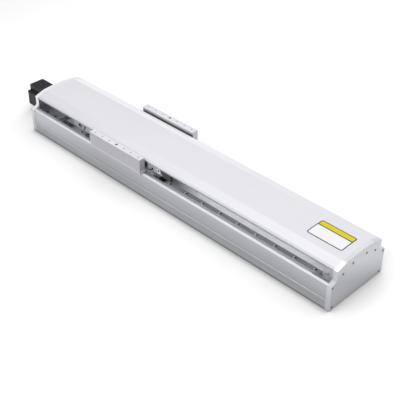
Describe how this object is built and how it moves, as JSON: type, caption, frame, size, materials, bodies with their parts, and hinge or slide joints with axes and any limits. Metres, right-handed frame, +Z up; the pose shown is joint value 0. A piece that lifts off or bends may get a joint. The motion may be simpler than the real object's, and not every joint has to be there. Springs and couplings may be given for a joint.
{
  "type": "belt driven linear axis",
  "caption": "Wide covered linear axis with a toothed belt drive: a low carriage with two side bars runs on two rails, and a motor stands in line at one end.",
  "frame": {"origin": "centre of the body's underside, at the centre of its bolt patterns", "axes": "+X along the body towards the idle end, away from the motor; +Y across the body towards its rear side; +Z up, out of the cover"},
  "size_m": [1.212, 0.2122, 0.12],
  "materials": {
    "body_aluminium": "natural anodised extrusion, fine lines along its length",
    "cover_aluminium": "pale satin anodised",
    "plate_aluminium": "milled and anodised, satin",
    "rail_steel": "ground rail steel, grey",
    "block_steel": "ground bearing steel",
    "shaft_steel": "turned steel",
    "gear_steel": "hobbed steel, oiled",
    "black_screws": "black oxide, satin",
    "bright_screws": "zinc plated",
    "housing_grey": "dark grey anodised, satin",
    "motor_black": "black, matte",
    "black_plastic": "moulded, matte",
    "black_rubber": "moulded rubber",
    "belt_polyurethane": "toothed belt, matte",
    "brass": "turned brass"
  },
  "bodies": {
    "base": {"base_extrusion": "body_aluminium", "top_cover": "cover_aluminium", "drive_end_plate": "plate_aluminium", "idle_end_plate": "plate_aluminium", "end_plate_screws": "black_screws", "drive_cover_brackets": "housing_grey", "idle_cover_brackets": "block_steel", "front_rail": "rail_steel", "rear_rail": "rail_steel", "rail_screws": "black_screws", "drive_housing": "housing_grey", "drive_housing_screws": "bright_screws", "bearing_caps": "housing_grey", "drive_bearings": "shaft_steel", "input_bearings": "shaft_steel", "toothed_belt": "belt_polyurethane", "idler_housing": "housing_grey", "idler_housing_screws": "black_screws", "idler_axle": "shaft_steel", "idler_bearings": "shaft_steel", "tension_screws": "black_screws", "drive_bumpers": "black_rubber", "idle_bumpers": "black_rubber", "motor_flange": "motor_black", "motor_body": "motor_black", "motor_rear_cover": "motor_black", "motor_terminal_box": "motor_black", "motor_connectors": "black_plastic", "motor_screws": "black_screws"},
    "carriage": {"carriage_table": "plate_aluminium", "front_side_bar": "plate_aluminium", "rear_side_bar": "plate_aluminium", "side_bar_screws": "black_screws", "front_left_guide_block": "block_steel", "front_right_guide_block": "block_steel", "rear_left_guide_block": "block_steel", "rear_right_guide_block": "block_steel", "block_end_caps": "black_plastic", "block_end_seals": "black_rubber", "grease_nipples": "brass", "block_screws": "black_screws", "belt_clamp_blocks": "block_steel", "belt_clamp_jaws": "block_steel", "belt_clamp_screws": "black_screws", "wiper_brackets": "plate_aluminium", "wiper_pads": "black_rubber", "wiper_screws": "black_screws"},
    "drive_train": {"drive_shaft": "shaft_steel", "drive_pulley": "plate_aluminium", "drive_bevel_wheel": "gear_steel"},
    "input_train": {"motor_shaft": "shaft_steel", "input_bevel_pinion": "gear_steel"},
    "idler": {"idler_pulley": "plate_aluminium"}
  },
  "joints": [
    {"name": "carriage_slide", "type": "slide", "parent": "base", "child": "carriage", "axis": [1, 0, 0], "range_m": [-0.126, 0.488]},
    {"name": "drive_spin", "type": "hinge", "parent": "base", "child": "drive_train", "pos_m": [-0.503, 0, 0.046], "axis": [0, 1, 0], "range_deg": [-380, 1470]},
    {"name": "idler_spin", "type": "hinge", "parent": "base", "child": "idler", "pos_m": [0.508, 0, 0.046], "axis": [0, 1, 0], "range_deg": [-380, 1470]},
    {"name": "input_spin", "type": "hinge", "parent": "base", "child": "input_train", "pos_m": [-0.543, 0, 0.046], "axis": [1, 0, 0], "range_deg": [-2150, 560]}
  ],
  "couplings": [
    {"joint": "drive_spin", "follows": "carriage_slide", "rad_per_m": 52.36},
    {"joint": "idler_spin", "follows": "carriage_slide", "rad_per_m": 52.36},
    {"joint": "input_spin", "follows": "carriage_slide", "rad_per_m": -76.526}
  ]
}
